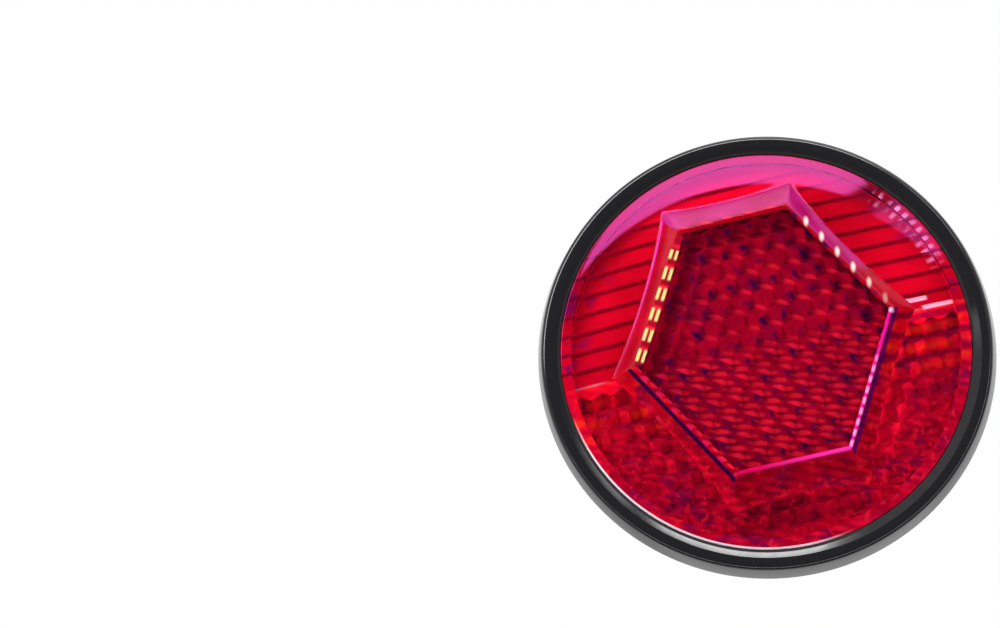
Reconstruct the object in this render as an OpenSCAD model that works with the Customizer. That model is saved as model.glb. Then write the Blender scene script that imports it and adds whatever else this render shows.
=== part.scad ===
// Round rear reflector. Millimetres, +Z up.
// The lens faces -Y and the stud runs back along +Y.
// The origin is the middle of the seat that lies against the mounting plate.

/* [Lens] */
// Diameter of the lens
lens_d = 72.2; // [71:0.1:76]
// Radius of the sphere that the front of the lens is part of
dome_r = 115; // [100:1:140]
// Thickness of plastic between the edge of the dome and the outer prisms
ring_t = 1.9; // [1.6:0.1:3]
// Width of the foot that is welded to the housing
foot_w = 2; // [1.5:0.1:2.5]
// Height of the foot past the tips of the prisms
foot_h = 0.3; // [0.2:0.1:1]

/* [Prisms] */
// Width of one prism across its flats
cell = 3.9; // [3.8:0.05:4]
// Depth of the straight rows in the upper half
groove_h = 0.8; // [0.6:0.1:1.5]
// Width of the steep side of a straight row
groove_w = 0.3; // [0.3:0.1:1]

/* [Raised hexagon] */
// Rows of prisms above the middle row, and below it
half_rows = 6; // [5:1:6]
// Prisms in the middle row
mid_cells = 11; // [9:2:11]
// Plastic between the corners of the end prisms and the slanted edges
hex_margin = 0.7; // [0.2:0.05:0.8]
// Height of the hexagon above the crown of the dome
hex_rise = 0.7; // [0.1:0.05:1]
// Thickness of plastic between the hexagon and its prisms
hex_t = 2.6; // [2.2:0.1:3.2]
// Slope of the bevels along the two level edges, in degrees
level_slope = 42; // [38:1:50]
// Slope of the bevels along the four slanted edges, in degrees
side_slope = 49; // [42:1:54]

/* [Housing] */
// Width of the housing's rim past the lens, at its widest
rim_w = 4.4; // [4.1:0.1:7]
// Lean of the outer wall towards the front, in degrees
wall_draft = 15; // [10:1:18]
// Radius of the rim's outer corner
corner_r = 1.2; // [0.8:0.1:1.3]
// Width of the slope between the lens and the crest of the rim
lip_w = 1.4; // [1:0.1:1.8]
// Depth of that slope
lip_h = 0.6; // [0.4:0.1:0.8]
// Radius of the rounded back edge
back_r = 4.5; // [3.5:0.1:5]
// Thickness of the back
floor_t = 2; // [1.6:0.1:2.5]
// Height of the ledge under the lens, from the inside of the back
ledge_h = 0.8; // [0.5:0.1:3]
// Width of the ledge under the lens
ledge_w = 2.4; // [1.5:0.1:3]

/* [Boss and stud] */
// Diameter of the boss on the back
boss_d = 20; // [16:0.5:26]
// Height of the boss on the back
boss_h = 2; // [1:0.1:4]
// Diameter of the tower that holds the stud's head
tower_d = 15; // [13:0.5:20]
// Diameter of the stud's thread
stud_d = 5; // [4:0.5:5]
// Height of the rolled thread above the plain shank inside the housing
thread_h = 0.25; // [0.1:0.05:0.4]
// Length of the stud behind the seat
stud_l = 14; // [8:0.5:25]
// Width of the stud's head across its flats
head_w = 8; // [7.5:0.1:9]
// Thickness of the stud's head
head_t = 3.5; // [2.5:0.1:4]
// Depth of the plastic between the head and the seat
head_z = 2.4; // [1.5:0.1:3]

/* [Clearances] */
// Gap between the lens and the rim around it
lens_gap = 0.1; // [0.05:0.05:0.3]
// Gap around the stud and its head
stud_gap = 0.05; // [0.02:0.01:0.15]

/* [Hidden] */
$fn = 96;
eps = 0.01;
// How far the prisms' slab reaches into the plastic in front of them
sink = 0.5;

// A cube standing on its corner gives each prism its three square faces.
row = cell * sin(60);
prism_h = cell * sqrt(2 / 3);

// Heights are measured forwards from the seat.
floor_z = boss_h + floor_t;
foot_z = floor_z + ledge_h;
edge_z = foot_z + foot_h + prism_h + ring_t;
lens_r = lens_d / 2;
crown_z = edge_z + dome_r - sqrt(dome_r * dome_r - lens_r * lens_r);
hex_z = crown_z + hex_rise;
ring_z = edge_z - ring_t;
field_z = hex_z - hex_t;
field_r = lens_r - foot_w / 2;

// The hexagon's edges follow the rows of prisms, each turned from the last by a sixth.
// The level ones lie at the tips of the end rows.
turn = 360 / 6;
level_y = half_rows * row + cell / sqrt(3);
side_a = (mid_cells - 1) / 2 * cell * cos(30) + cell / sqrt(3) + hex_margin;

// The rim stands a little above the edge of the lens and slopes down to it.
seat_r = lens_r + lens_gap;
crest_r = seat_r + lip_w;
crest_z = edge_z + lip_h;

// The wall leans in from its widest circle and runs into the corner without a step.
outer_r = seat_r + rim_w;
wide_z = boss_h + back_r;
corner_z = crest_z - corner_r;
wall_z = corner_z + corner_r * sin(wall_draft);
wall_r = outer_r - (wall_z - wide_z) * tan(wall_draft);
corner_c = wall_r - corner_r * cos(wall_draft);
back_c = outer_r - back_r;

// Corners of a hexagon with level edges at y and slanted edges a from the middle.
function hex_points(y, a) = let (x = a / cos(30), t = (a - y / 2) / cos(30))
    [[x, 0], [t, y], [-t, y], [-x, 0], [-t, -y], [t, -y]];

// Prisms lie in staggered rows. Every corner falls on a grid of half a prism
// by a third of a row, and its height depends only on which third it is.
corner_steps = [[0, 2], [1, 1], [1, -1], [0, -2], [-1, -1], [-1, 1]];
face_corners = [[6, 2, 1, 0], [6, 4, 3, 2], [6, 0, 5, 4]];
neighbours = [for (k = [0:5]) corner_steps[k] + corner_steps[(k + 1) % 6]];

function grid_x(g) = g[0] * cell / 2;
function grid_y(g) = g[1] * row / 3;
function grid_z(g) = [prism_h, 0, prism_h / 2][((g[1] % 3) + 3) % 3];
function in_field(g, y0, y1, r) =
    grid_y(g) > y0 && grid_y(g) < y1 && norm([grid_x(g), grid_y(g)]) < r;

// A slab whose back is covered with prisms between two heights on the face.
module prism_field(z, y0, y1, r) {
    n = ceil(r / row) + 1;
    cells = [for (j = [-n:n]) for (i = [-2 * n:2 * n])
        let (g = [2 * i + (abs(j) % 2), 3 * j]) if (in_field(g, y0, y1, r)) g];
    points = [for (g = cells) each concat(
        [for (s = corner_steps) [grid_x(g + s), grid_y(g + s), z - grid_z(g + s)]],
        [[grid_x(g), grid_y(g), z - grid_z(g)]],
        [for (s = corner_steps) [grid_x(g + s), grid_y(g + s), z + sink]])];
    faces = [for (c = [0:len(cells) - 1]) each concat(
        [for (f = face_corners) [for (k = f) 13 * c + k]],
        [[for (k = [0:5]) 13 * c + 7 + k]],
        [for (k = [0:5]) let (m = (k + 1) % 6)
            if (!in_field(cells[c] + neighbours[k], y0, y1, r))
                [13 * c + k, 13 * c + m, 13 * c + 7 + m, 13 * c + 7 + k]])];
    polyhedron(points, faces);
}

// Straight rows, each with a broad slope and a short steep side.
module straight_rows() {
    n = ceil(field_r / row);
    for (i = [0:n - 1])
        translate([-field_r, i * row, ring_z]) rotate([90, 0, 90])
            linear_extrude(2 * field_r)
                polygon([[0, sink], [row, sink], [row, 0], [row - groove_w, -groove_h], [0, 0]]);
}

// A long bar, level on top, whose two sides slope down and away at a from the middle.
module sloped_bar(direction, a, slope) {
    foot = a + (hex_z - ring_z) / tan(slope);
    rotate([90, 0, direction]) linear_extrude(2 * lens_d, center = true)
        polygon([[-foot, ring_z], [foot, ring_z], [a, hex_z], [-a, hex_z]]);
}

// The front of the lens: a shallow dome with a raised hexagon.
module lens_front() {
    intersection() {
        translate([0, 0, foot_z]) cylinder(h = 2 * dome_r, r = lens_r);
        translate([0, 0, crown_z - dome_r]) sphere(dome_r);
    }
    intersection() {
        cylinder(h = hex_z, r = field_r);
        sloped_bar(90, level_y, level_slope);
        sloped_bar(90 - turn, side_a, side_slope);
        sloped_bar(90 + turn, side_a, side_slope);
    }
}

// Everything below is modelled face up and turned to look along -Y.
module upright() rotate([90, 0, 0]) children();

module housing() color([0.06, 0.06, 0.065]) upright() difference() {
    union() {
        translate([0, 0, wide_z]) rotate_extrude() translate([back_c, 0]) circle(back_r);
        translate([0, 0, wide_z])
            cylinder(h = wall_z - wide_z, r1 = outer_r, r2 = wall_r);
        translate([0, 0, corner_z])
            rotate_extrude() translate([corner_c, 0]) circle(corner_r);
        translate([0, 0, wide_z]) cylinder(h = crest_z - wide_z, r = corner_c);
        translate([0, 0, boss_h]) cylinder(h = back_r + eps, r = back_c);
        cylinder(h = boss_h + eps, d = boss_d);
    }
    translate([0, 0, foot_z]) cylinder(h = hex_z, r = seat_r);
    translate([0, 0, edge_z]) cylinder(h = lip_h, r1 = seat_r, r2 = crest_r);
    translate([0, 0, crest_z]) cylinder(h = hex_z, r = crest_r);
    difference() {
        translate([0, 0, floor_z]) cylinder(h = hex_z, r = seat_r - ledge_w);
        cylinder(h = head_z + head_t + stud_gap, d = tower_d);
    }
    translate([0, 0, -eps]) cylinder(h = hex_z, r = stud_d / 2 + stud_gap);
    translate([0, 0, head_z])
        cylinder(h = hex_z, r = (head_w / 2 + stud_gap) / cos(30), $fn = 6);
}

module lens() color([0.75, 0.02, 0.07]) upright() {
    difference() {
        union() {
            difference() {
                lens_front();
                translate([0, 0, -eps]) cylinder(h = ring_z + eps, r = lens_r - foot_w);
            }
            intersection() {
                cylinder(h = hex_z, r = field_r);
                union() {
                    prism_field(ring_z, -lens_r, -eps, field_r + cell);
                    straight_rows();
                }
            }
        }
        linear_extrude(field_z) polygon(hex_points(level_y, side_a));
    }
    intersection() {
        prism_field(field_z, -lens_r, lens_r, side_a / cos(30) + cell / 2);
        linear_extrude(hex_z) polygon(hex_points(level_y + eps, side_a + eps));
    }
}

module stud() color([0.72, 0.73, 0.74]) upright() {
    translate([0, 0, head_z])
        cylinder(h = head_t, r = head_w / 2 / cos(30), $fn = 6);
    tip = stud_d / 8;
    cylinder(h = head_z + eps, d = stud_d - 2 * thread_h);
    translate([0, 0, tip - stud_l]) cylinder(h = stud_l - tip, d = stud_d);
    translate([0, 0, -stud_l]) cylinder(h = tip, d1 = stud_d - 2 * tip, d2 = stud_d);
}

housing();
lens();
stud();
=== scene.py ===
"""A round rear reflector: a red prism lens in a black cup, with a steel stud on its back."""
import math

import bmesh
import bpy
from mathutils import Matrix, Quaternion, Vector


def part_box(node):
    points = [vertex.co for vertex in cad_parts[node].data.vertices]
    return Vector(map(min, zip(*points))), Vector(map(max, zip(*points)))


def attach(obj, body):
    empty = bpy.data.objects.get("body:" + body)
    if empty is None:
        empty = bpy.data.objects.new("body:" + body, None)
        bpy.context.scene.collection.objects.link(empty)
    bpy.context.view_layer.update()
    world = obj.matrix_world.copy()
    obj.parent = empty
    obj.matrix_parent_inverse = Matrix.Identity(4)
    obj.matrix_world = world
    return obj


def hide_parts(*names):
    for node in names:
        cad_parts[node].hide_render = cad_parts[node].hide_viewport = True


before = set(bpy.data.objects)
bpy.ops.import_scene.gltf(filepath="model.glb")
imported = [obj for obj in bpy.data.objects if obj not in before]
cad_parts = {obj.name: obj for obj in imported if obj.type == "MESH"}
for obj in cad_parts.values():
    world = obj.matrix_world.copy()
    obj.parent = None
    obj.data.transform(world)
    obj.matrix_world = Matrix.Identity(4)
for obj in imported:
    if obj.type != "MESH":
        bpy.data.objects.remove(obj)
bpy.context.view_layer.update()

# The housing is one black ABS moulding: a shallow cup with a rounded back edge, a wall
# that leans in towards the front, and a rim that stands just proud of the lens.
# A low ledge inside carries the lens, and a tower on the floor holds the stud's head.
MM = 0.001
cup_low, cup_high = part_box("housing")
lens_low, lens_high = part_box("lens")
CUP_R = cup_high.x / MM
CREST_H = -cup_low.y / MM
LENS_R = lens_high.x / MM
FOOT_H = -lens_high.y / MM
HEX_H = -lens_low.y / MM
LENS_GAP, LEDGE_W = 0.1, 2.4
LIP_W, LIP_H = 1.4, 0.6
EDGE_H = CREST_H - LIP_H
SEAT_R = LENS_R + LENS_GAP
CREST_R = SEAT_R + LIP_W
LEDGE_R = SEAT_R - LEDGE_W
HOLE_R = 2.55
BOSS_R, BOSS_H, FLOOR_H = 10, 2, 4
TOWER_R, TOWER_H = 7.5, 5.95
BACK_ROUND, CORNER_ROUND = 4.5, 1.2
WALL_DRAFT = math.radians(15)

# Pieces are shaped face up, in millimetres, and then stood up to look along -Y.
STAND_UP = Matrix.Rotation(math.radians(90), 4, "X") @ Matrix.Scale(MM, 4)


def rounded(corners):
    """The outline through corners (across, up, rounding), with each corner turned into an arc
    of steps of about 9 degrees."""
    outline = []
    count = len(corners)
    for i, (across, up, rounding) in enumerate(corners):
        here = Vector((across, up))
        before = (Vector(corners[i - 1][:2]) - here).normalized()
        after = (Vector(corners[(i + 1) % count][:2]) - here).normalized()
        if not rounding:
            outline.append(here)
            continue
        half = before.angle(after) / 2
        centre = here + (before + after).normalized() * rounding / math.sin(half)
        start = here + before * rounding / math.tan(half) - centre
        turn = start.angle_signed(here + after * rounding / math.tan(half) - centre)
        steps = max(2, round(abs(math.degrees(turn)) / 9))
        for k in range(steps + 1):
            swing = -turn * k / steps
            outline.append(centre + Vector((start.x * math.cos(swing) - start.y * math.sin(swing),
                                            start.x * math.sin(swing) + start.y * math.cos(swing))))
    return outline


def join_rings(mesh, rings):
    """Faces between each ring of points and the next."""
    for low, high in zip(rings, rings[1:]):
        for k in range(len(low)):
            j = (k + 1) % len(low)
            mesh.faces.new((low[k], low[j], high[j], high[k]))


def loose(mesh, name):
    """A bmesh made into an object."""
    data = bpy.data.meshes.new(name)
    mesh.to_mesh(data)
    mesh.free()
    thing = bpy.data.objects.new(name, data)
    bpy.context.collection.objects.link(thing)
    return thing


def stand(mesh, name, *finishes, sharp=35):
    """Turns a finished bmesh into a piece that stands in the frame."""
    bmesh.ops.remove_doubles(mesh, verts=mesh.verts, dist=1e-5)
    bmesh.ops.recalc_face_normals(mesh, faces=mesh.faces)
    mesh.transform(STAND_UP)
    for face in mesh.faces:
        face.smooth = True
    for edge in mesh.edges:
        edge.smooth = edge.is_manifold and edge.calc_face_angle(0) < math.radians(sharp)
    piece = loose(mesh, name)
    for finish in finishes:
        piece.data.materials.append(finish)
    return piece


def turned(outline, around):
    """A closed outline swept round the axis."""
    mesh = bmesh.new()
    rings = []
    for point in outline:
        rings.append([mesh.verts.new((point.x * math.cos(a), point.x * math.sin(a), point.y))
                      for a in (2 * math.pi * k / around for k in range(around))])
    join_rings(mesh, rings + rings[:1])
    return mesh


class Wiring:
    """Adds nodes to one tree and joins them up."""

    def __init__(self, tree):
        self.tree = tree

    def fill(self, socket, value):
        if isinstance(value, bpy.types.NodeSocket):
            self.tree.links.new(value, socket)
        else:
            socket.default_value = value

    def node(self, kind, inputs=(), **settings):
        made = self.tree.nodes.new(kind)
        for key, value in settings.items():
            setattr(made, key, value)
        for key, value in dict(inputs).items():
            self.fill(made.inputs[key], value)
        return made

    def do(self, operation, a, b=0.0, c=0.0):
        return self.node("ShaderNodeMath", {0: a, 1: b, 2: c}, operation=operation).outputs[0]

    def both(self, first, *others):
        """The product of all the given values or masks."""
        for other in others:
            first = self.do("MULTIPLY", first, other)
        return first

    def total(self, first, *others):
        """The sum of all the given values."""
        for other in others:
            first = self.do("ADD", first, other)
        return first

    def ease(self, value, start, end, low=0.0, high=1.0, curve="SMOOTHSTEP"):
        """Goes from low to high while a value goes from start to end."""
        numbers = dict(enumerate((value, start, end, low, high)))
        return self.node("ShaderNodeMapRange", numbers, interpolation_type=curve).outputs[0]

    def split(self, value):
        return self.node("ShaderNodeSeparateXYZ", {0: value}).outputs

    def across_and_up(self, place):
        """A place on the part in millimetres, to the right and up."""
        parts = self.split(place)
        return [self.both(parts[n], 1 / MM) for n in ("X", "Z")]

    def radius(self, x, z):
        return self.do("SQRT", self.total(self.both(x, x), self.both(z, z)))

    def cloud(self, place, scale, detail=2.0):
        inputs = {"Vector": place, "Scale": scale, "Detail": detail}
        return self.node("ShaderNodeTexNoise", inputs).outputs[0]


def shader(name):
    """A new material with its wiring, its gloss and its place on the part."""
    material = bpy.data.materials.new(name)
    material.use_nodes = True
    tree = material.node_tree
    place = tree.nodes.new("ShaderNodeTexCoord").outputs["Object"]
    return material, Wiring(tree), tree.nodes["Principled BSDF"], place


def black_abs():
    """Black gloss with a faint grain. The slope inside the crest is dull at the lower right,
    and all round along its foot."""
    material, m, gloss, place = shader("black_abs")
    gloss.inputs["Base Color"].default_value = (0.006, 0.006, 0.008, 1)
    gloss.inputs["IOR"].default_value = 1.54
    x, z = m.across_and_up(place)
    out = m.radius(x, z)
    lower_right = m.ease(m.do("SUBTRACT", x, z), 38, 46, curve="LINEAR")
    slope = m.both(lower_right, m.do("LESS_THAN", out, CREST_R + 0.1))
    foot = m.do("LESS_THAN", out, SEAT_R + 0.4)
    dull = m.both(m.do("MAXIMUM", slope, foot), 0.7)
    grain = m.cloud(place, 900, 4.0)
    polish = m.ease(grain, 0.0, 1.0, 0.08, 0.2, curve="LINEAR")
    m.fill(gloss.inputs["Roughness"], m.total(polish, dull))
    swell = m.node("ShaderNodeBump", {"Strength": 0.08, "Distance": 0.02 * MM, "Height": grain})
    m.fill(gloss.inputs["Normal"], swell.outputs["Normal"])
    return material


wall_top = CUP_R - (CREST_H - BOSS_H - BACK_ROUND) * math.tan(WALL_DRAFT)
housing = turned(rounded([
    (HOLE_R, 0, 0.2), (BOSS_R, 0, 0.4), (BOSS_R, BOSS_H, 0.5), (CUP_R, BOSS_H, BACK_ROUND),
    (CUP_R, BOSS_H + BACK_ROUND, 0.3), (wall_top, CREST_H, CORNER_ROUND),
    (CREST_R, CREST_H, 0.3), (SEAT_R, EDGE_H, 0), (SEAT_R, FOOT_H, 0),
    (LEDGE_R, FOOT_H, 0), (LEDGE_R, FLOOR_H, 0.4), (TOWER_R, FLOOR_H, 0.4),
    (TOWER_R, TOWER_H, 0.3), (HOLE_R, TOWER_H, 0)]), around=384)
housing = stand(housing, "housing_moulding", black_abs())
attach(housing, "root")
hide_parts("housing")

# The stud is an M5 steel screw with a hexagonal head, zinc plated. Its head is pressed
# into the tower on the housing's floor, and the thread stands out behind the seat.
stud_low, stud_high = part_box("stud")
STUD_TIP = stud_high.y / MM
HEAD_TOP = -stud_low.y / MM
HEAD_H = 3.5
TIP_CHAMFER = 0.55
PITCH, THREAD_DEPTH = 0.8, 0.45
STUD_R, SHANK_R = 2.5, 2.25


def zinc():
    material, m, gloss, place = shader("zinc_plate")
    gloss.inputs["Base Color"].default_value = (0.62, 0.64, 0.66, 1)
    gloss.inputs["Metallic"].default_value = 1
    bloom = m.ease(m.cloud(place, 400), 0.0, 1.0, 0.25, 0.42, curve="LINEAR")
    m.fill(gloss.inputs["Roughness"], bloom)
    return material


def threaded_shaft():
    """A shaft whose skin rises and falls once for each pitch, shifted as it goes round."""
    around, steps = 48, 8
    length = STUD_TIP + HEAD_TOP - HEAD_H
    count = round(length / PITCH * steps)
    mesh = bmesh.new()
    rings = []
    for i in range(count + 1):
        up = -STUD_TIP + length * i / count
        ring = []
        for k in range(around):
            turn = k / around
            # The groove has a flat at its crest and at its root, with a slope between them.
            wave = abs(((up / PITCH - turn) % 1) * 2 - 1)
            groove = THREAD_DEPTH * min(1, max(0, 1.25 * wave - 0.125))
            tip = max(0, TIP_CHAMFER - (up + STUD_TIP))
            radius = min(STUD_R - groove, STUD_R - tip) if up < 0 else SHANK_R
            ring.append(mesh.verts.new((radius * math.cos(2 * math.pi * turn),
                                        radius * math.sin(2 * math.pi * turn), up)))
        rings.append(ring)
    join_rings(mesh, rings)
    mesh.faces.new(rings[0][::-1])
    mesh.faces.new(rings[-1])
    return mesh


stud = threaded_shaft()
head_r = (stud_high.z - stud_low.z) / 2 / MM / math.cos(math.radians(30))
head = bmesh.ops.create_cone(stud, cap_ends=True, segments=6, radius1=head_r, radius2=head_r,
                             depth=HEAD_H)["verts"]
bmesh.ops.translate(stud, verts=head, vec=(0, 0, HEAD_TOP - HEAD_H / 2))
stud = stand(stud, "stud_m5", zinc(), sharp=30)
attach(stud, "root")
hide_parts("stud")

# The lens is one moulding in clear red acrylic. Its front is a shallow dome with a raised
# hexagon. Cube-corner prisms cover its back, with straight rows over the upper half of the
# ring round the hexagon. Its foot is welded to the ledge in the housing.
CELL = 3.9
HALF_ROWS, MID_CELLS = 6, 11
DOME_R = 115
RING_T, HEX_T, FOOT_W = 1.9, 2.6, 2
HEX_MARGIN, HEX_RISE = 0.7, 0.7
STEEP_W, STEEP_H = 0.3, 0.8
LEVEL_SLOPE, SIDE_SLOPE = math.radians(42), math.radians(49)
ROW = CELL * math.sin(math.radians(60))
PRISM_H = CELL * math.sqrt(2 / 3)
RING_H = EDGE_H - RING_T
FIELD_H = HEX_H - HEX_T
FIELD_R = LENS_R - FOOT_W / 2
LEVEL_Y = HALF_ROWS * ROW + CELL / math.sqrt(3)
SIDE_A = ((MID_CELLS - 1) / 2 * CELL * math.cos(math.radians(30)) + CELL / math.sqrt(3)
          + HEX_MARGIN)
SINK = 0.5
EDGES = [(math.radians(30 + 60 * k), LEVEL_Y if k % 3 == 1 else SIDE_A,
          LEVEL_SLOPE if k % 3 == 1 else SIDE_SLOPE) for k in range(6)]
CROWN_H = EDGE_H + DOME_R - math.sqrt(DOME_R ** 2 - LENS_R ** 2)
FLANGE_R = LENS_R - FOOT_W + 0.1
AROUND = 432
TURNS = [2 * math.pi * k / AROUND for k in range(AROUND)]


def smooth_least(values, width):
    """The least of some values, with the crossing from one to the next eased over width."""
    low = min(values)
    return low - width * math.log(sum(math.exp((low - v) / width) for v in values))


def hexagon_reach(turn):
    """How far the hexagon's outline lies from the axis in one direction."""
    reaches = [a / math.cos(turn - t) for t, a, _ in EDGES if math.cos(turn - t) > 0.3]
    return smooth_least(reaches, 0.25)


def dome_height(x, y):
    return CROWN_H - DOME_R + math.sqrt(DOME_R ** 2 - min(x * x + y * y, LENS_R ** 2))


def slope_heights(x, y):
    """Height of each of the six bevels' slopes over one point."""
    return [HEX_H - (x * math.cos(t) + y * math.sin(t) - a) * math.tan(s) for t, a, s in EDGES]


def front_height(x, y):
    """Height of the front of the lens: hexagon and bevels, or the dome where that is higher."""
    bevel = smooth_least(slope_heights(x, y) + [HEX_H], 0.05)
    return -smooth_least([-bevel, -dome_height(x, y)], 0.09)


def bevel_foot(turn):
    """Distance from the axis at which the bevel meets the dome."""
    reach = hexagon_reach(turn)
    for k in range(200):
        r = reach + 0.03 * k
        x, y = r * math.cos(turn), r * math.sin(turn)
        if min(slope_heights(x, y)) < dome_height(x, y):
            return r
    return reach


feet = [bevel_foot(turn) for turn in TURNS]


def lens_blank():
    """The lens before its prisms: the front, the edge, the foot and a flat back. Its rings of
    points follow the hexagon's edge, then the feet of the bevels, then the rim."""
    reaches = [hexagon_reach(t) for t in TURNS]
    rounding = 0.3
    rim = LENS_R - rounding
    near = [-2.4, -1.6, -1.2, -0.9, -0.6, -0.3, -0.1, 0, 0.1, 0.3, 0.6, 0.9]
    loops = [[r + s for r in reaches] for s in near]
    loops += [[r + 0.9 + (f - r - 1.4) * s for r, f in zip(reaches, feet)] for s in (0.33, 0.66, 1)]
    loops += [[f + s for f in feet] for s in (-0.3, -0.15, 0, 0.15, 0.3, 0.5)]
    loops += [[f + 0.5 + (FLANGE_R - f - 0.5) * s / 16 for f in feet] for s in range(1, 17)]
    loops += [[FLANGE_R + (rim - FLANGE_R) * s / 4] * AROUND for s in range(1, 5)]
    mesh = bmesh.new()
    rings = [[mesh.verts.new((r * math.cos(t), r * math.sin(t),
                              front_height(r * math.cos(t), r * math.sin(t))))
              for r, t in zip(loop, TURNS)] for loop in loops]
    edge_round = [(rim + rounding * math.sin(a), EDGE_H - 0.2 + rounding * math.cos(a))
                  for a in (math.radians(d) for d in range(30, 91, 15))]
    inner = LENS_R - FOOT_W
    for r, h in edge_round + [(LENS_R, FOOT_H), (inner, FOOT_H), (inner, RING_H)]:
        rings.append([mesh.verts.new((r * math.cos(t), r * math.sin(t), h)) for t in TURNS])
    join_rings(mesh, rings)
    mesh.faces.new(rings[0][::-1])
    mesh.faces.new(rings[-1])
    bmesh.ops.recalc_face_normals(mesh, faces=mesh.faces)
    return mesh


def extruded(corners, way):
    """A block made from one flat face that is pushed along a straight way."""
    mesh = bmesh.new()
    face = mesh.faces.new([mesh.verts.new(corner) for corner in corners])
    made = bmesh.ops.extrude_face_region(mesh, geom=[face])["geom"]
    moved = [item for item in made if isinstance(item, bmesh.types.BMVert)]
    bmesh.ops.translate(mesh, verts=moved, vec=way)
    bmesh.ops.recalc_face_normals(mesh, faces=mesh.faces)
    return mesh


def block(points, low, high):
    """An upright block over an outline."""
    return extruded([(x, y, low) for x, y in points], (0, 0, high - low))


def combine(body, tool, how):
    """Joins, cuts or intersects body with tool, and clears the tool away."""
    cut = body.modifiers.new("cut", "BOOLEAN")
    cut.solver, cut.operation, cut.object = "MANIFOLD", how, tool
    graph = bpy.context.evaluated_depsgraph_get()
    made = bpy.data.meshes.new_from_object(body.evaluated_get(graph))
    body.modifiers.remove(cut)
    body.data = made
    bpy.data.objects.remove(tool)
    return body


def prism_lattice():
    """Nodes that lay hexagonal cells in staggered rows and give each three square faces."""
    tree = bpy.data.node_groups.new("prism_lattice", "GeometryNodeTree")
    face = tree.interface
    face.new_socket("Geometry", in_out="OUTPUT", socket_type="NodeSocketGeometry")
    names = (("Cell", "Float"), ("Depth", "Float"), ("Reach", "Float"), ("Upper Limit", "Float"),
             ("Height", "Float"), ("Sink", "Float"), ("Count", "Int"), ("Finish", "Material"))
    for name, kind in names:
        face.new_socket(name, in_out="INPUT", socket_type="NodeSocket" + kind)
    given = tree.nodes.new("NodeGroupInput").outputs
    m = Wiring(tree)
    add, maths = m.node, m.do

    def place():
        return m.split(add("GeometryNodeInputPosition").outputs[0])

    row = maths("MULTIPLY", given["Cell"], math.sin(math.radians(60)))
    span = maths("SUBTRACT", given["Count"], 1.0)
    grid = add("GeometryNodeMeshGrid", {
        "Vertices X": given["Count"], "Vertices Y": given["Count"],
        "Size X": maths("MULTIPLY", span, given["Cell"]), "Size Y": maths("MULTIPLY", span, row)})
    spot = place()
    which = maths("ROUND", maths("DIVIDE", spot["Y"], row))
    odd = maths("PINGPONG", which, 1.0)
    shift = add("ShaderNodeCombineXYZ", {
        "X": maths("MULTIPLY", odd, maths("MULTIPLY", given["Cell"], 0.5))})
    rows = add("GeometryNodeSetPosition", {"Geometry": grid.outputs["Mesh"],
                                           "Offset": shift.outputs[0]})
    spot = place()
    away = m.radius(spot["X"], spot["Y"])
    out = maths("MAXIMUM", maths("GREATER_THAN", away, given["Reach"]),
                maths("GREATER_THAN", spot["Y"], given["Upper Limit"]))
    kept = add("GeometryNodeDeleteGeometry", {"Geometry": rows.outputs[0], "Selection": out},
               domain="POINT")
    hexagon = add("GeometryNodeMeshCircle", {
        "Vertices": 6, "Radius": maths("DIVIDE", given["Cell"], math.sqrt(3))},
        fill_type="TRIANGLE_FAN")
    upright = add("GeometryNodeTransform", {
        "Geometry": hexagon.outputs[0], "Rotation": (0, 0, math.radians(30))})
    cells = add("GeometryNodeInstanceOnPoints", {"Points": kept.outputs[0],
                                                 "Instance": upright.outputs[0]})
    sheet = add("GeometryNodeMergeByDistance", {
        "Geometry": add("GeometryNodeRealizeInstances", {0: cells.outputs[0]}).outputs[0],
        "Distance": 0.01})
    spot = place()
    third = maths("ROUND", maths("DIVIDE", spot["Y"], maths("DIVIDE", row, 3.0)))
    phase = maths("FLOORED_MODULO", third, 3.0)
    tip = maths("MULTIPLY", maths("COMPARE", phase, 0.0, 0.1), given["Depth"])
    middle = maths("MULTIPLY", maths("COMPARE", phase, 2.0, 0.1),
                   maths("MULTIPLY", given["Depth"], 0.5))
    drop = maths("SUBTRACT", given["Height"], maths("ADD", tip, middle))
    relief = add("GeometryNodeSetPosition", {
        "Geometry": sheet.outputs[0], "Offset": add("ShaderNodeCombineXYZ", {"Z": drop}).outputs[0]})
    slab = add("GeometryNodeExtrudeMesh", {
        "Mesh": relief.outputs[0], "Offset": (0, 0, 1), "Individual": False}, mode="FACES")
    spot = place()
    level = add("ShaderNodeCombineXYZ", {"X": spot["X"], "Y": spot["Y"],
                                         "Z": maths("ADD", given["Height"], given["Sink"])})
    capped = add("GeometryNodeSetPosition", {"Geometry": slab.outputs["Mesh"],
                                             "Selection": slab.outputs["Top"],
                                             "Position": level.outputs[0]})
    under = add("GeometryNodeFlipFaces", {"Mesh": relief.outputs[0]})
    both = add("GeometryNodeJoinGeometry")
    tree.links.new(capped.outputs[0], both.inputs[0])
    tree.links.new(under.outputs[0], both.inputs[0])
    whole = add("GeometryNodeMergeByDistance", {"Geometry": both.outputs[0], "Distance": 0.001})
    real = add("GeometryNodeRealizeInstances", {0: whole.outputs[0]})
    done = add("GeometryNodeSetMaterial", {"Geometry": real.outputs[0],
                                           "Material": given["Finish"]})
    tree.links.new(done.outputs[0], tree.nodes.new("NodeGroupOutput").inputs[0])
    return tree


lattice = prism_lattice()


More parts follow.
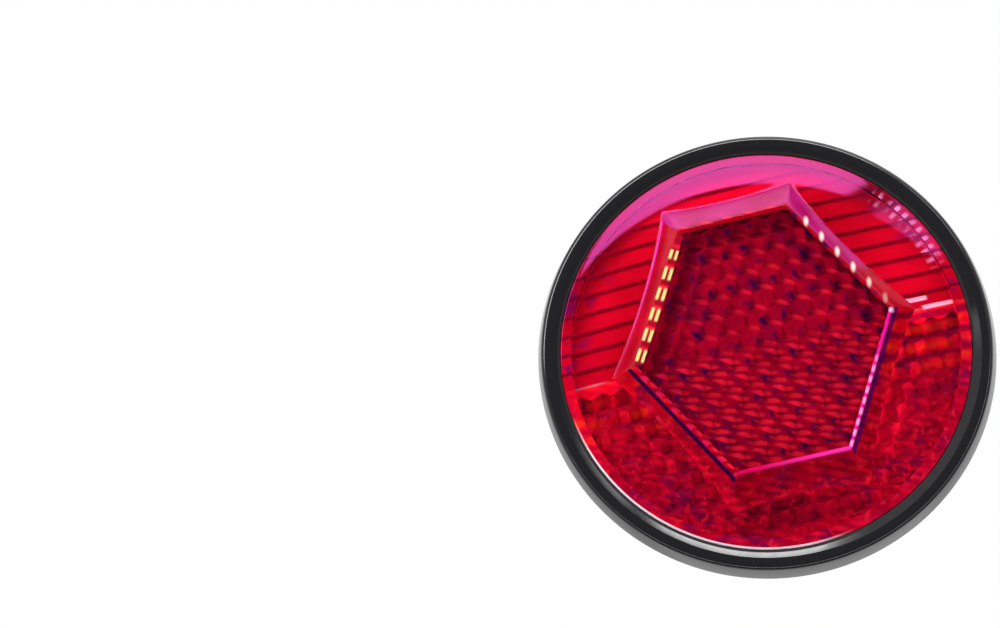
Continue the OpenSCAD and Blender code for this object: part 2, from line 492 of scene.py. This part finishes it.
def prisms(height, reach, upper_limit, finish):
    """A slab with prisms on its back, made by the lattice and turned into a plain mesh."""
    carrier = bpy.data.objects.new("prisms", bpy.data.meshes.new("prisms"))
    bpy.context.collection.objects.link(carrier)
    grow = carrier.modifiers.new("grow", "NODES")
    grow.node_group = lattice
    sizes = {"Cell": CELL, "Depth": PRISM_H, "Reach": reach, "Upper Limit": upper_limit,
             "Height": height, "Sink": SINK, "Count": 2 * math.ceil(reach / ROW) + 5,
             "Finish": finish}
    for item in lattice.interface.items_tree:
        if item.in_out == "INPUT":
            value = sizes[item.name]
            grow[item.identifier] = float(value) if item.socket_type.endswith("Float") else value
    graph = bpy.context.evaluated_depsgraph_get()
    carrier.data = bpy.data.meshes.new_from_object(carrier.evaluated_get(graph))
    carrier.modifiers.remove(grow)
    return carrier


def straight_rows():
    """Rows with a broad slope and a short steep side, side by side up the ring."""
    count = math.ceil(FIELD_R / ROW)
    outline = [(0, SINK), (count * ROW, SINK)]
    for i in range(count, 0, -1):
        outline += [(i * ROW, 0), (i * ROW - STEEP_W, -STEEP_H)]
    side = [(-FIELD_R, y, RING_H + z) for y, z in outline + [(0, 0)]]
    return extruded(side, (2 * FIELD_R, 0, 0))


def hexagon_points(grow=0):
    """The hexagon's corners, where each edge crosses the next."""
    points = []
    for (t1, a1, _), (t2, a2, _) in zip(EDGES, EDGES[1:] + EDGES[:1]):
        n1, n2 = (Vector((math.cos(t), math.sin(t))) for t in (t1, t2))
        cross = n1.x * n2.y - n1.y * n2.x
        a1, a2 = a1 + grow, a2 + grow
        points.append(((a1 * n2.y - a2 * n1.y) / cross, (a2 * n1.x - a1 * n2.x) / cross))
    return points


def disc():
    """A block as wide as the field of prisms, which trims them."""
    turns = [math.radians(degrees) for degrees in range(0, 360, 2)]
    outline = [(FIELD_R * math.cos(turn), FIELD_R * math.sin(turn)) for turn in turns]
    return loose(block(outline, 0, HEX_H), "disc")


def acrylic(gloss, roughness):
    """The polish of the bare plastic."""
    gloss.inputs["Roughness"].default_value = roughness
    gloss.inputs["IOR"].default_value = 1.49
    gloss.inputs["Specular Tint"].default_value = (0.75, 0.02, 0.45, 1)


def clear_skin():
    """The polished front. Lamps shine straight through it, so that they light the prisms."""
    material, m, gloss, place = shader("clear_skin")
    gloss.inputs["Base Color"].default_value = (1, 0.93, 0.95, 1)
    acrylic(gloss, 0.01)
    gloss.inputs["Transmission Weight"].default_value = 1
    clear = m.node("ShaderNodeBsdfTransparent", {"Color": (1, 0.93, 0.95, 1)})
    ray = m.node("ShaderNodeLightPath")
    choose = m.node("ShaderNodeMixShader", {0: ray.outputs["Is Shadow Ray"],
                                            1: gloss.outputs[0], 2: clear.outputs[0]})
    m.fill(m.tree.nodes["Material Output"].inputs["Surface"], choose.outputs[0])
    return material


def band(m, value, low, high, soft=0.1):
    """A mask for what lies between low and high."""
    return m.both(m.ease(value, low - soft, low + soft), m.ease(value, high + soft, high - soft))


def nearest(m, value, start, step):
    """How far a value lies from the nearest of evenly spaced marks."""
    count = m.do("DIVIDE", m.do("SUBTRACT", value, start), step)
    return m.both(m.do("SUBTRACT", count, m.do("ROUND", count)), step)


def marks(m, value, start, step, reach, core):
    """A mask for evenly spaced marks that are full up to core and gone past reach."""
    return m.ease(m.do("ABSOLUTE", nearest(m, value, start, step)), reach, core)


def blend(m, share, first, second):
    return m.node("ShaderNodeMix", {0: share, 6: first, 7: second}, data_type="RGBA").outputs[2]


def vector(m, operation, inputs):
    return m.node("ShaderNodeVectorMath", inputs, operation=operation).outputs[0]


def strokes(m, x, z, at, tilt, half, edge=0.45):
    """One stroke for each prism, lying at a place in its cell and tilted."""
    x, z = m.do("SUBTRACT", x, at[0]), m.do("SUBTRACT", z, at[1])
    odd = m.do("PINGPONG", m.do("ROUND", m.do("DIVIDE", z, ROW)), 1.0)
    x = nearest(m, m.do("SUBTRACT", x, m.both(odd, CELL / 2)), 0.0, CELL)
    z = nearest(m, z, 0.0, ROW)
    c, s = math.cos(math.radians(tilt)), math.sin(math.radians(tilt))
    along = m.do("ADD", m.both(x, c / half[0]), m.both(z, s / half[0]))
    aside = m.do("SUBTRACT", m.both(z, c / half[1]), m.both(x, s / half[1]))
    return m.ease(m.radius(along, aside), 1 + edge, 1 - edge)


def beyond_side(m, x, z, k):
    """How far past one side of the hexagon a point lies, and how far along that side."""
    t, a, _ = EDGES[k]
    past = m.do("ADD", m.both(x, math.cos(t)), m.both(z, math.sin(t)))
    along = m.do("SUBTRACT", m.both(z, math.cos(t)), m.both(x, math.sin(t)))
    return m.do("SUBTRACT", past, a), along


def under_flange(m, colour, x, z):
    """The flange shades what lies under it, so that is coloured lighter."""
    near = m.ease(m.radius(x, z), FLANGE_R - 0.6, FLANGE_R - 0.1)
    return blend(m, near, colour, (1, 0.003, 0.04, 1))


def even_light(m, colour):
    """Faces that look up get more of the lamps' light, so they are coloured darker."""
    face = m.split(m.node("ShaderNodeNewGeometry").outputs["Normal"])
    front = m.both(m.do("SIGN", face["Y"]), -1.0)
    lean = m.do("SUBTRACT", m.both(face["X"], 0.25), m.both(face["Z"], 0.43))
    level = m.do("ADD", 1.05, m.both(lean, front))
    return vector(m, "SCALE", {0: colour, "Scale": level})


def finish_red(m, gloss, softness):
    """No gloss of its own, and each face shaded as if it leant less, as light spreads inside."""
    gloss.inputs["Roughness"].default_value = 1
    gloss.inputs["Specular IOR Level"].default_value = 0
    normal = m.node("ShaderNodeNewGeometry").outputs["Normal"]
    lean = vector(m, "SCALE", {0: normal, "Scale": 1 - softness})
    face = vector(m, "ADD", {0: lean, 1: (0, -softness, 0)})
    m.fill(gloss.inputs["Normal"], vector(m, "NORMALIZE", {0: face}))


# The middles of the painted glints on each prism, across and up from the prism's own middle, and half
# the length and half the width of a long one.
RIDGE, JOINT, LONG = (0.97, -0.56), (-0.5, 1.13), (1.7, 0.42)


def hexagon_tone(m, place, x, z):
    """Each prism behind the hexagon has a painted glint along the ridge that runs down to its right,
    and in the lower half along the joint with its neighbour too. Many also have a dark spot of
    painted shade."""
    lower = m.ease(z, 1.5, -2.5)
    # Painted glints along each prism's ridge, and in the lower half along its joint too.
    ridge = strokes(m, x, z, RIDGE, -33, (1.35, 0.42))
    ridge_low = strokes(m, x, z, RIDGE, -20, LONG)
    joint_low = strokes(m, x, z, JOINT, -20, LONG)
    glint = m.do("MAXIMUM", m.both(ridge, m.do("SUBTRACT", 1.0, lower), 0.95),
                 m.both(m.do("MAXIMUM", ridge_low, joint_low), lower))
    glint = m.both(glint, m.ease(m.cloud(place, 90), 0.3, 0.7, 0.5, 1.0))
    # Painted shade: a dark spot in each cell, where the cloud lets it show.
    painted_dark_spot = strokes(m, x, z, (-0.97, 0.3), -30, (1.0, 0.7), 0.6)
    painted_dark_spot = m.both(painted_dark_spot, m.ease(m.cloud(place, 300), 0.42, 0.6))
    dark = blend(m, lower, (0.35, 0.0006, 0.014, 1), (0.27, 0.0005, 0.012, 1))
    light = blend(m, lower, (0.5, 0.0009, 0.019, 1), (0.41, 0.0008, 0.016, 1))
    colour = blend(m, m.ease(m.cloud(place, 260, 3.0), 0.3, 0.7), dark, light)
    colour = blend(m, m.ease(m.cloud(place, 150), 0.48, 0.7, 0.0, 0.6), colour,
                     (0.16, 0.001, 0.035, 1))
    colour = blend(m, painted_dark_spot, colour, (0.045, 0.002, 0.05, 1))
    return blend(m, glint, colour, (0.95, 0.012, 0.04, 1))


def ring_tone(m, place, x, z):
    """The prisms below the dividers: duller than those behind the hexagon, with painted glints and
    fine painted sparkle, and painted lighter and warm, with painted streaks of glint, near the
    dividers."""
    # Painted light: the prisms are coloured lighter towards the dividers.
    near = m.ease(z, -15.0, -3.0)
    colour = blend(m, m.ease(m.cloud(place, 260, 3.0), 0.3, 0.7), (0.32, 0.0008, 0.012, 1),
                     (0.6, 0.001, 0.024, 1))
    colour = blend(m, m.both(near, 0.8), colour, (0.9, 0.0015, 0.01, 1))
    colour = blend(m, m.ease(m.cloud(place, 200), 0.5, 0.68, 0.0, 0.8), colour, (0.17, 0.002, 0.05, 1))
    # Painted glints on each prism's ridge and joint.
    glint = m.do("MAXIMUM", strokes(m, x, z, RIDGE, -20, LONG, 0.6),
                 strokes(m, x, z, JOINT, -20, LONG, 0.6))
    colour = blend(m, m.both(glint, m.ease(m.cloud(place, 120), 0.3, 0.7, 0.2, 0.8)), colour,
                     (0.9, 0.004, 0.03, 1))
    # Fine bright flecks of painted sparkle.
    colour = blend(m, m.ease(m.cloud(place, 650), 0.54, 0.7, 0.0, 0.6), colour,
                     (1.0, 0.012, 0.03, 1))
    # Wavy darker lines between the rows of streaks below, stronger on the right.
    wavy = m.do("ADD", z, m.both(m.do("SUBTRACT", m.cloud(place, 120), 0.5), 2.0))
    dark_line = marks(m, wavy, -1.29, ROW, 0.9, 0.3)
    dark_line = m.both(dark_line, m.ease(z, -14, -7), m.ease(x, -5, 5, 0.25, 0.75))
    colour = blend(m, dark_line, colour, (0.16, 0.001, 0.02, 1))
    # Warm streaks of painted glint below the dividers.
    streak = strokes(m, x, z, (0.2, 0.4), 0, (1.8, 0.6), 0.5)
    warm = m.both(streak, m.ease(z, -13.0, -7.0), m.ease(m.cloud(place, 160), 0.42, 0.52))
    return blend(m, warm, colour, (1.0, 0.022, 0.004, 1))


def rows_tone(m, place, x, z):
    """The straight rows, which shine evenly and are mottled near the rim. They are painted lighter
    near the top, to make up for the rim's shade.
    """
    colour = blend(m, m.ease(m.cloud(place, 60), 0.3, 0.7), (0.42, 0.0004, 0.006, 1),
                     (0.62, 0.0008, 0.014, 1))
    # Painted light: lighter near the top, where the rim shades the rows.
    colour = blend(m, m.ease(z, 24, 29), colour, (0.75, 0.001, 0.02, 1))
    mottled = m.both(m.ease(z, 26, 18), m.ease(m.radius(x, z), 27, 35),
                     m.ease(m.cloud(place, 330), 0.5, 0.65), 0.8)
    return blend(m, mottled, colour, (0.2, 0.002, 0.07, 1))


def rib_highlights(m, place, x, z, colour):
    """Painted highlights of short pale ribs round the ends of the rows at the upper right."""
    turn = m.do("MULTIPLY", m.do("ARCTAN2", z, x), 180 / math.pi / 3)
    rib_highlight = marks(m, turn, 0.0, 1.0, 0.32, 0.1)
    part = m.both(band(m, m.radius(x, z), 32.6, 35.3, 0.4), band(m, turn, 13 / 3, 41 / 3, 0.5))
    broken = m.ease(m.cloud(place, 250), 0.35, 0.6)
    return blend(m, m.both(rib_highlight, part, broken), colour, (1, 0.3, 0.6, 1))


def red_prism():
    """The prisms behind the hexagon."""
    material, m, gloss, place = shader("red_prism")
    x, z = m.across_and_up(place)
    m.fill(gloss.inputs["Base Color"], even_light(m, hexagon_tone(m, place, x, z)))
    finish_red(m, gloss, 0.84)
    return material


def red_ring():
    """The prisms below the dividers, coloured lighter where the bevels shade them."""
    material, m, gloss, place = shader("red_ring")
    x, z = m.across_and_up(place)
    past = m.do("MAXIMUM", beyond_side(m, x, z, 4)[0], beyond_side(m, x, z, 5)[0])
    colour = under_flange(m, ring_tone(m, place, x, z), x, z)
    shaded = m.both(m.ease(past, 8.5, 3.0), m.ease(x, -8, 4), 0.7)
    colour = vector(m, "SCALE", {0: colour, "Scale": m.do("ADD", 1.0, shaded)})
    m.fill(gloss.inputs["Base Color"], even_light(m, colour))
    finish_red(m, gloss, 0.8)
    return material


def red_rows():
    """The broad slopes of the straight rows, with painted highlights of short ribs at their ends on
    the right and painted highlights where they meet the prisms below."""
    material, m, gloss, place = shader("red_rows")
    x, z = m.across_and_up(place)
    colour = rib_highlights(m, place, x, z, rows_tone(m, place, x, z))
    # Painted highlights where the rows meet the prisms below, and in a band above that on the right.
    inner = m.both(band(m, z, 1.7, 2.5), band(m, x, 23.3, 29.5, 0.3))
    outer = m.both(m.ease(z, 0.9, 0.6), m.ease(x, 28, 29))
    edge = m.do("MAXIMUM", m.do("MAXIMUM", inner, outer), m.both(
        m.ease(z, 0.5, 0.3), m.ease(m.cloud(place, 110), 0.4, 0.7, 0.0, 0.4)))
    colour = blend(m, edge, colour, (1, 0.4, 0.6, 1))
    m.fill(gloss.inputs["Base Color"], under_flange(m, colour, x, z))
    finish_red(m, gloss, 0.6)
    return material


def red_flange():
    """The outer edge of the lens over the weld. The pattern of the prisms, with their painted glints,
    is painted on it, and a painted highlight runs along its outer edge at the lower left."""
    material, m, gloss, place = shader("red_flange")
    x, z = m.across_and_up(place)
    # Painted shade: dark lines where the steep sides of the rows lie.
    row = m.both(marks(m, z, -0.4, ROW, 0.4, 0.2), m.ease(z, 27, 24))
    colour = blend(m, row, rows_tone(m, place, x, z), (0.2, 0.0005, 0.015, 1))
    colour = blend(m, m.ease(z, 0.3, -0.3), colour, ring_tone(m, place, x, z))
    # Painted shade: darker towards the top, where the flange catches the most light.
    colour = vector(m, "SCALE", {0: colour, "Scale": m.ease(z, 5, 28, 1.0, 0.32)})
    # A painted highlight along the outer edge at the lower left.
    lip_highlight = m.both(m.ease(m.radius(x, z), 35.65, 35.8), m.ease(z, -4, -14), m.ease(x, 8, -2))
    colour = rib_highlights(m, place, x, z, colour)
    m.fill(gloss.inputs["Base Color"], blend(m, lip_highlight, colour, (1, 0.8, 0.9, 1)))
    acrylic(gloss, 0.03)
    return material


def upper_bevels():
    """The three upper bevels. The level one is painted pink, as a painted reflection of the light
    above, and so is the top of the right one. Painted glints at the ends of the rows of prisms show as
    pale marks along both slanted edges, and a thin painted highlight lies at the foot of the left one."""
    material, m, gloss, place = shader("upper_bevels")
    x, z = m.across_and_up(place)
    (past_r, along_r), (past_t, _), (past_l, along_l) = (beyond_side(m, x, z, k) for k in range(3))
    slanted = m.do("MAXIMUM", past_r, past_l)
    top = m.do("GREATER_THAN", past_t, slanted)
    right = m.both(m.do("GREATER_THAN", past_r, past_t), m.do("GREATER_THAN", x, 0.0))
    left = m.both(m.do("GREATER_THAN", past_l, past_t), m.do("LESS_THAN", x, 0.0))
    red = blend(m, m.ease(m.cloud(place, 200), 0.3, 0.7), (0.4, 0.0006, 0.01, 1),
                  (0.55, 0.001, 0.02, 1))
    pink = blend(m, m.ease(m.cloud(place, 130), 0.35, 0.65), (0.42, 0.003, 0.11, 1),
                   (0.52, 0.012, 0.2, 1))
    colour = blend(m, m.ease(slanted, -0.2, 0.1), hexagon_tone(m, place, x, z), red)
    # Painted reflection: pink where the bevels face the light above.
    colour = blend(m, m.both(top, m.ease(past_t, 0.1, 1.0)), colour, pink)
    colour = blend(m, m.both(right, m.ease(past_r, -0.1, 0.3), m.ease(along_r, -4, 0)), colour, pink)
    # Painted glints: pale marks at the ends of the rows along the right edge.
    near = nearest(m, along_r, 10.14, CELL)
    out = m.do("SUBTRACT", past_r, 0.4)
    long = m.do("DIVIDE", m.do("ADD", m.both(out, 0.694), m.both(near, 0.719)), 1.05)
    wide = m.do("DIVIDE", m.do("SUBTRACT", m.both(out, 0.719), m.both(near, 0.694)), 0.42)
    glint_mark = m.both(right, m.ease(m.radius(long, wide), 1.45, 0.35), m.ease(along_r, -9.8, -2, 0.3, 1.0),
                  m.ease(along_r, 11.5, 11.3), m.ease(along_r, -10.9, -10.6))
    colour = blend(m, glint_mark, colour, (1.0, 0.8, 0.72, 1))
    # Painted glints: pairs of yellow marks at the ends of the rows along the left edge.
    pair = m.do("ABSOLUTE", m.do("SUBTRACT", m.do("ABSOLUTE", m.do("ADD", past_l, 0.7)), 0.52))
    glint_mark = m.both(left, m.ease(pair, 0.42, 0.12), band(m, along_l, -11.0, 11.8),
                  marks(m, along_l, -10.4, CELL, 1.4, 0.8))
    colour = blend(m, glint_mark, colour, (1.0, 0.76, 0.27, 1))
    # Painted highlight: a thin pink line at the foot of the left bevel.
    rise = m.both(m.do("ADD", HEX_RISE, m.both(m.do("POWER", m.radius(x, z), 2.0), 0.5 / DOME_R)),
                  1 / math.tan(SIDE_SLOPE))
    foot = m.both(left, m.ease(m.do("ABSOLUTE", m.do("SUBTRACT", rise, past_l)), 0.24, 0.1),
                  m.ease(along_l, -14, 12, 1.0, 0.15))
    colour = blend(m, foot, colour, (0.85, 0.03, 0.4, 1))
    m.fill(gloss.inputs["Base Color"], colour)
    gloss.inputs["Roughness"].default_value = 0.1
    gloss.inputs["Specular IOR Level"].default_value = 0.12
    return material


def lower_bevels():
    """The three lower bevels, painted with the pattern of the prisms beside them. Painted highlights
    make the hexagon's edge bright on the right and below; at the lower left it is dark with painted
    shade, with a few short painted glints."""
    material, m, gloss, place = shader("lower_bevels")
    x, z = m.across_and_up(place)
    (past_l, along_l), (past_b, along_b), (past_r, along_r) = (
        beyond_side(m, x, z, k) for k in (3, 4, 5))
    slanted = m.do("MAXIMUM", past_l, past_r)
    below = m.do("GREATER_THAN", past_b, slanted)
    left = m.both(m.do("GREATER_THAN", past_l, past_b), m.do("LESS_THAN", x, 0.0))
    right = m.both(m.do("GREATER_THAN", past_r, past_b), m.do("GREATER_THAN", x, 0.0))
    colour = blend(m, m.ease(m.do("MAXIMUM", slanted, past_b), -0.2, 0.1),
                     hexagon_tone(m, place, x, z), ring_tone(m, place, x, z))
    # Painted highlight along the lower edge, pinker towards the right.
    level = blend(m, m.ease(along_b, -9, 9), (0.7, 0.002, 0.1, 1), (1, 0.03, 0.4, 1))
    colour = blend(m, m.both(below, band(m, past_b, -0.5, 0.2)), colour, level)
    # Painted shade: a dark band just outside the right edge.
    colour = blend(m, m.both(right, band(m, past_r, 0.2, 1.0, 0.2), 0.85), colour,
                     (0.09, 0.002, 0.1, 1))
    # Painted highlight along the right edge, with brighter beads on its lower part.
    colour = blend(m, m.both(right, band(m, past_r, -0.4, 0.15)), colour, (0.85, 0.01, 0.35, 1))
    beaded_highlight = marks(m, along_r, 0.0, CELL / 2, 0.85, 0.25)
    colour = blend(m, m.both(right, band(m, past_r, -0.4, 0.15), beaded_highlight, m.ease(along_r, 4, 0)), colour,
                     (1, 0.32, 0.75, 1))
    # Painted shade: a dark band outside the lower left edge.
    colour = blend(m, m.both(left, band(m, past_l, 0.45, 1.1, 0.12)), colour, (0.04, 0.001, 0.05, 1))
    # Painted glints: short dashes on the lower left edge.
    glint_dash = marks(m, along_l, -4.75, CELL, 0.8, 0.5)
    colour = blend(m, m.both(left, band(m, past_l, 0.0, 0.35), glint_dash), colour, (0.9, 0.01, 0.15, 1))
    # A painted highlight at the right corner.
    spot = m.ease(m.radius(m.do("SUBTRACT", x, 22.6), m.do("ADD", z, 0.5)), 0.65, 0.2)
    colour = blend(m, spot, colour, (1, 0.55, 0.75, 1))
    m.fill(gloss.inputs["Base Color"], colour)
    finish_red(m, gloss, 0.8)
    return material


def red_steep():
    """The short steep sides between the rows, which send little light forwards."""
    material, m, gloss, place = shader("red_steep")
    colour = blend(m, m.ease(m.cloud(place, 300), 0.3, 0.7), (0.5, 0.0009, 0.02, 1),
                     (0.7, 0.0015, 0.045, 1))
    m.fill(gloss.inputs["Base Color"], colour)
    finish_red(m, gloss, 0.3)
    return material


red = red_prism()
lens = loose(lens_blank(), "lens_blank")
lower = combine(prisms(RING_H, FIELD_R + CELL, -0.1 * ROW, red),
                disc(), "INTERSECT")
upper = combine(loose(straight_rows(), "rows"), disc(), "INTERSECT")
lens = combine(lens, lower, "UNION")
lens = combine(lens, upper, "UNION")
lens = combine(lens, loose(block(hexagon_points(), -1, FIELD_H), "pocket"), "DIFFERENCE")
field = combine(prisms(FIELD_H, SIDE_A / math.cos(math.radians(30)) + CELL, LENS_R, red),
                loose(block(hexagon_points(0.01), 0, HEX_H), "field_edge"), "INTERSECT")
lens = combine(lens, field, "UNION")

# The front is clear over the dome and the hexagon. The bevels and the flange are painted with the
# prisms' pattern and with painted highlights and reflections. Each kind of face on the back has a red
# finish of its own.
CLEAR, PRISM, ROWS, STEEP, RING, FLANGE, UPPER, LOWER = range(8)
finishes = (clear_skin(), red, red_rows(), red_steep(), red_ring(), red_flange(), upper_bevels(),
            lower_bevels())
moulding = bmesh.new()
moulding.from_mesh(lens.data)
bpy.data.objects.remove(lens)
bmesh.ops.recalc_face_normals(moulding, faces=moulding.faces)
for part in moulding.faces:
    spot, lean = part.calc_center_median(), part.normal.z
    away, turn = spot.xy.length, math.atan2(spot.y, spot.x)
    past = away - hexagon_reach(turn)
    width = feet[round(turn / 2 / math.pi * AROUND) % AROUND] - hexagon_reach(turn)
    side = max(range(6), key=lambda k: spot.x * math.cos(EDGES[k][0])
               + spot.y * math.sin(EDGES[k][0]) - EDGES[k][1])
    # A bevel's finish starts at the hexagon's edge or inside it, and ends past the bevel's foot.
    start, end = ((-0.6, 0.15), (0, 0.15), (-1.6, 0.3))[side] if side < 3 else (-0.6, 0.5)
    if lean > 0.1 and away > FLANGE_R:
        part.material_index = FLANGE
    elif lean > 0.1 and start < past < width + end:
        part.material_index = UPPER if side < 3 else LOWER
    elif lean > 0.1:
        part.material_index = CLEAR
    elif spot.z > RING_H + 0.01:
        part.material_index = PRISM
    elif spot.y < 0:
        part.material_index = RING
    elif lean < -0.8 or away > FIELD_R - 0.1:
        part.material_index = ROWS
    else:
        part.material_index = STEEP
lens = stand(moulding, "lens_moulding", *finishes, sharp=25)
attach(lens, "root")
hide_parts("lens")

# The reflector hangs free in a white tent. The tent is dark where its opening is, in front.
# Lamps run over the top of the opening and under it, and one more shines from overhead.
def studio():
    """A white tent with a dark opening in front, brightest round the top of the opening."""
    world = bpy.data.worlds.new("studio")
    bpy.context.scene.world = world
    world.use_nodes = True
    m = Wiring(world.node_tree)
    nodes = m.tree.nodes
    direction = m.node("ShaderNodeTexCoord").outputs["Generated"]
    way = m.split(direction)
    x, z = way["X"], way["Z"]
    off_axis = m.both(m.do("ARCCOSINE", m.both(way["Y"], -1.0)), 180 / math.pi)
    tent = m.ease(off_axis, 49, 50)
    under = m.ease(z, -0.2, 0.1, 0.12, 0.6)

    tilt = math.radians(14)
    aside = m.do("SUBTRACT", m.both(z, math.cos(tilt)), m.both(x, math.sin(tilt)))
    strip = m.both(m.ease(aside, 0.51, 0.54), tent, m.ease(off_axis, 60, 58))
    side = m.both(m.ease(x, 0.46, 0.5), m.ease(z, 0.36, 0.42), m.ease(z, 0.6, 0.56),
                  m.ease(off_axis, 47, 48), m.ease(off_axis, 57, 55), 0.35)
    low_strip = m.both(m.ease(z, 0.05, -0.1), m.ease(off_axis, 61, 62.5),
                       m.ease(off_axis, 68, 66.5))
    above = Vector((0.4, 0.3, 0.86)).normalized()
    towards = m.node("ShaderNodeVectorMath", {0: direction, 1: above}, operation="DOT_PRODUCT")
    edge, core = (math.cos(math.radians(angle)) for angle in (32, 28))
    overhead = m.ease(towards.outputs["Value"], edge, core)

    back = m.ease(off_axis, 95, 115)
    behind = m.both(back, m.ease(z, -0.45, -0.25))
    cloth = m.both(back, m.ease(z, -0.45, -0.25, 1.25, 0.0))
    glow = m.total(m.both(m.do("MAXIMUM", strip, side), 14.0), m.both(overhead, 1.2),
                   m.both(low_strip, 5.0), m.both(tent, under), cloth, m.both(behind, 0.5),
                   m.both(m.do("SUBTRACT", 1.0, tent), 0.25))
    light = nodes["Background"]
    light.inputs["Color"].default_value = (1, 1, 1, 1)
    m.fill(light.inputs["Strength"], glow)

    # The camera sees plain white, and so do reflections of what lies behind the part.
    seen = m.node("ShaderNodeBackground", {"Color": (1, 1, 1, 1)})
    ray = m.node("ShaderNodeLightPath").outputs
    mirrored = m.both(behind, m.do("MAXIMUM", ray["Is Glossy Ray"], ray["Is Transmission Ray"]))
    plain = m.do("MAXIMUM", ray["Is Camera Ray"], mirrored)
    mixed = m.node("ShaderNodeMixShader", {0: plain, 1: light.outputs[0], 2: seen.outputs[0]})
    m.fill(nodes["World Output"].inputs["Surface"], mixed.outputs[0])


studio()
bpy.context.scene.view_settings.view_transform = "Standard"

# The camera stands a little below the reflector's axis and is rolled, as in the photograph.
PHOTO_W, PHOTO_H = 1000, 628
LENS_X, LENS_Y = 762.6, 346.3
FOCAL_PX, SENSOR_W = 1788, 36
DISTANCE = 0.3204
AZIMUTH, ELEVATION, ROLL = math.radians(-2.71), math.radians(-13.96), math.radians(-13.99)

eye_data = bpy.data.cameras.new("camera")
eye = bpy.data.objects.new("camera", eye_data)
bpy.context.collection.objects.link(eye)
bpy.context.scene.camera = eye
eye_data.sensor_width = SENSOR_W
eye_data.lens = SENSOR_W * FOCAL_PX / PHOTO_W
back = Vector((math.sin(AZIMUTH) * math.cos(ELEVATION), -math.cos(AZIMUTH) * math.cos(ELEVATION),
               math.sin(ELEVATION)))
middle = Vector((0, -EDGE_H * MM, 0))
eye.location = middle + back * DISTANCE
aim = (-back).to_track_quat("-Z", "Y") @ Quaternion((0, 0, 1), ROLL)
sight = Vector(((LENS_X - PHOTO_W / 2) / FOCAL_PX, -(LENS_Y - PHOTO_H / 2) / FOCAL_PX, -1))
eye.rotation_mode = "QUATERNION"
eye.rotation_quaternion = aim @ sight.rotation_difference(Vector((0, 0, -1)))
eye_data.clip_start, eye_data.clip_end = 0.01, 10
